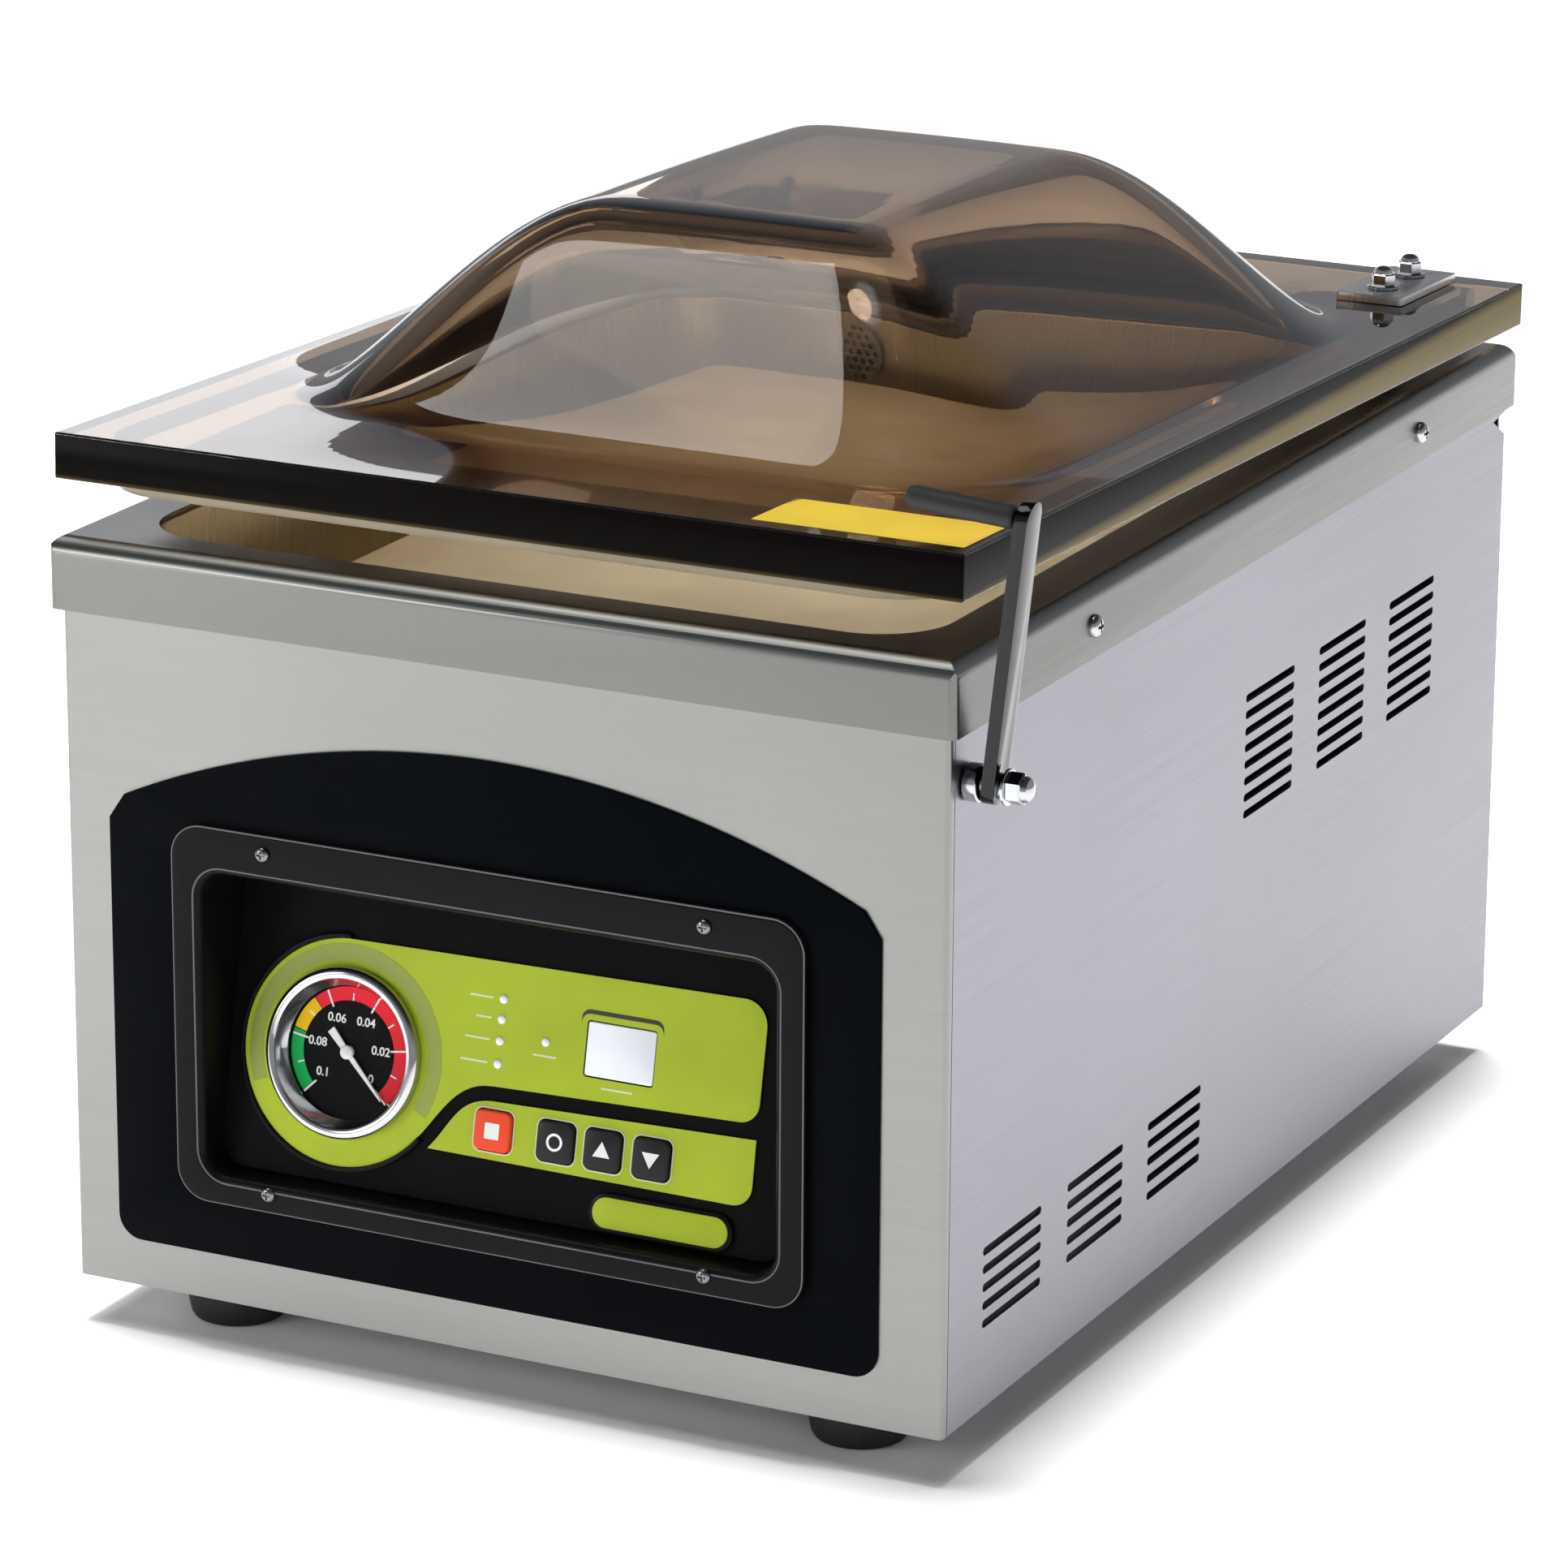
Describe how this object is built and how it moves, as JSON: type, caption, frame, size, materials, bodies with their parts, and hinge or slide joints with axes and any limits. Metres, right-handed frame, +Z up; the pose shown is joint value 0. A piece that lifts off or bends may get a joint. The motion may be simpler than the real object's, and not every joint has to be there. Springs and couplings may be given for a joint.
{
  "type": "chamber vacuum packing machine",
  "caption": "Tabletop chamber vacuum packer: brushed steel cabinet, smoked domed acrylic lid on rear hinges, hold-down lever, sloped control panel with gauge and keys.",
  "frame": {"origin": "bottom centre of the box round the whole machine, on the surface the feet stand on, lid ajar and lever forward", "axes": "+Z up; the control panel faces -Y and the lid hinges are at +Y; +X is the side with the lever"},
  "size_m": [0.3722, 0.5296, 0.3881],
  "materials": {
    "cabinet_steel": "brushed",
    "tub_steel": "satin",
    "chrome_fittings": "polished",
    "black_plastic": "fine satin",
    "frame_plastic": "fine satin",
    "green_film": "satin print",
    "lid_acrylic": "smoked and clear",
    "gasket_silicone": "matte",
    "filler_board": "satin",
    "foot_rubber": "matte",
    "gauge_glass": "clear",
    "dial_face": "matte print",
    "needle_white": "satin",
    "red_button": "satin",
    "dark_button": "satin",
    "display_pane": "satin",
    "cast_alloy": "cast",
    "motor_paint": "satin",
    "transformer_core": "varnished",
    "circuit_board": "satin",
    "hose_pvc": "satin"
  },
  "bodies": {
    "cabinet": {"base_pan": "cabinet_steel", "front_panel": "cabinet_steel", "right_side_panel": "cabinet_steel", "left_side_panel": "cabinet_steel", "rear_panel": "cabinet_steel", "deck_rim": "cabinet_steel", "hinge_bracket_left": "cabinet_steel", "hinge_bracket_right": "cabinet_steel", "chamber_tub": "tub_steel", "foot_front_left": "foot_rubber", "foot_front_right": "foot_rubber", "foot_rear_left": "foot_rubber", "foot_rear_right": "foot_rubber", "rim_screw_front": "chrome_fittings", "rim_screw_rear": "chrome_fittings", "panel_screw_upper_left": "chrome_fittings", "panel_screw_upper_right": "chrome_fittings", "panel_screw_lower_left": "chrome_fittings", "panel_screw_lower_right": "chrome_fittings", "gauge_case": "chrome_fittings", "lever_stud": "chrome_fittings", "lever_nut": "chrome_fittings", "seal_cylinder_left": "chrome_fittings", "seal_cylinder_right": "chrome_fittings", "front_trim_plate": "black_plastic", "control_face": "black_plastic", "power_inlet": "black_plastic", "panel_frame": "frame_plastic", "face_overlay": "green_film", "display_window": "display_pane", "control_board": "circuit_board", "gauge_dial": "dial_face", "gauge_lens": "gauge_glass", "filler_plate": "filler_board", "port_cover": "cast_alloy", "vacuum_pump": "cast_alloy", "solenoid_valve": "cast_alloy", "pump_motor": "motor_paint", "transformer": "transformer_core", "vacuum_hose": "hose_pvc"},
    "lid": {"lid_shell": "lid_acrylic", "lid_gasket": "gasket_silicone", "lid_pressure_bar": "gasket_silicone", "hinge_plate_left": "cabinet_steel", "hinge_plate_right": "cabinet_steel", "hinge_leaf_left": "cabinet_steel", "hinge_leaf_right": "cabinet_steel", "lid_bolt_left_front": "chrome_fittings", "lid_bolt_left_rear": "chrome_fittings", "lid_bolt_right_front": "chrome_fittings", "lid_bolt_right_rear": "chrome_fittings"},
    "lever": {"lever_arm": "chrome_fittings", "lever_grip": "foot_rubber"},
    "seal_bar": {"seal_bar": "cast_alloy"},
    "stop_button": {"stop_button": "red_button"},
    "set_button": {"set_button": "dark_button"},
    "up_button": {"up_button": "dark_button"},
    "down_button": {"down_button": "dark_button"},
    "gauge_needle": {"gauge_needle": "needle_white"},
    "power_switch": {"power_switch": "dark_button"}
  },
  "joints": [
    {"name": "lid_hinge", "type": "hinge", "parent": "cabinet", "child": "lid", "pos_m": [-0.01411, 0.2598, 0.285], "axis": [-1, 0, 0], "range_deg": [-1.64, 48]},
    {"name": "lever_pivot", "type": "hinge", "parent": "cabinet", "child": "lever", "pos_m": [0.16439, -0.2407, 0.2442], "axis": [1, 0, 0], "range_deg": [-41, 150]},
    {"name": "seal_bar_lift", "type": "slide", "parent": "cabinet", "child": "seal_bar", "axis": [0, 0, 1], "range_m": [0, 0.0145]},
    {"name": "stop_press", "type": "slide", "parent": "cabinet", "child": "stop_button", "axis": [0, 0.9781, -0.2079], "range_m": [0, 0.0015], "stiffness_N_per_m": 800, "springref_m": -0.001},
    {"name": "set_press", "type": "slide", "parent": "cabinet", "child": "set_button", "axis": [0, 0.9781, -0.2079], "range_m": [0, 0.0015], "stiffness_N_per_m": 800, "springref_m": -0.001},
    {"name": "up_press", "type": "slide", "parent": "cabinet", "child": "up_button", "axis": [0, 0.9781, -0.2079], "range_m": [0, 0.0015], "stiffness_N_per_m": 800, "springref_m": -0.001},
    {"name": "down_press", "type": "slide", "parent": "cabinet", "child": "down_button", "axis": [0, 0.9781, -0.2079], "range_m": [0, 0.0015], "stiffness_N_per_m": 800, "springref_m": -0.001},
    {"name": "needle_swing", "type": "hinge", "parent": "cabinet", "child": "gauge_needle", "pos_m": [-0.08121, -0.23944, 0.11204], "axis": [0, -0.9781, 0.2079], "range_deg": [0, 270], "stiffness_Nm_per_rad": 0.0005, "springref_deg": -17.19},
    {"name": "power_rocker", "type": "hinge", "parent": "cabinet", "child": "power_switch", "pos_m": [0.04789, 0.2435, 0.062], "axis": [1, 0, 0], "range_deg": [0, 16]}
  ]
}
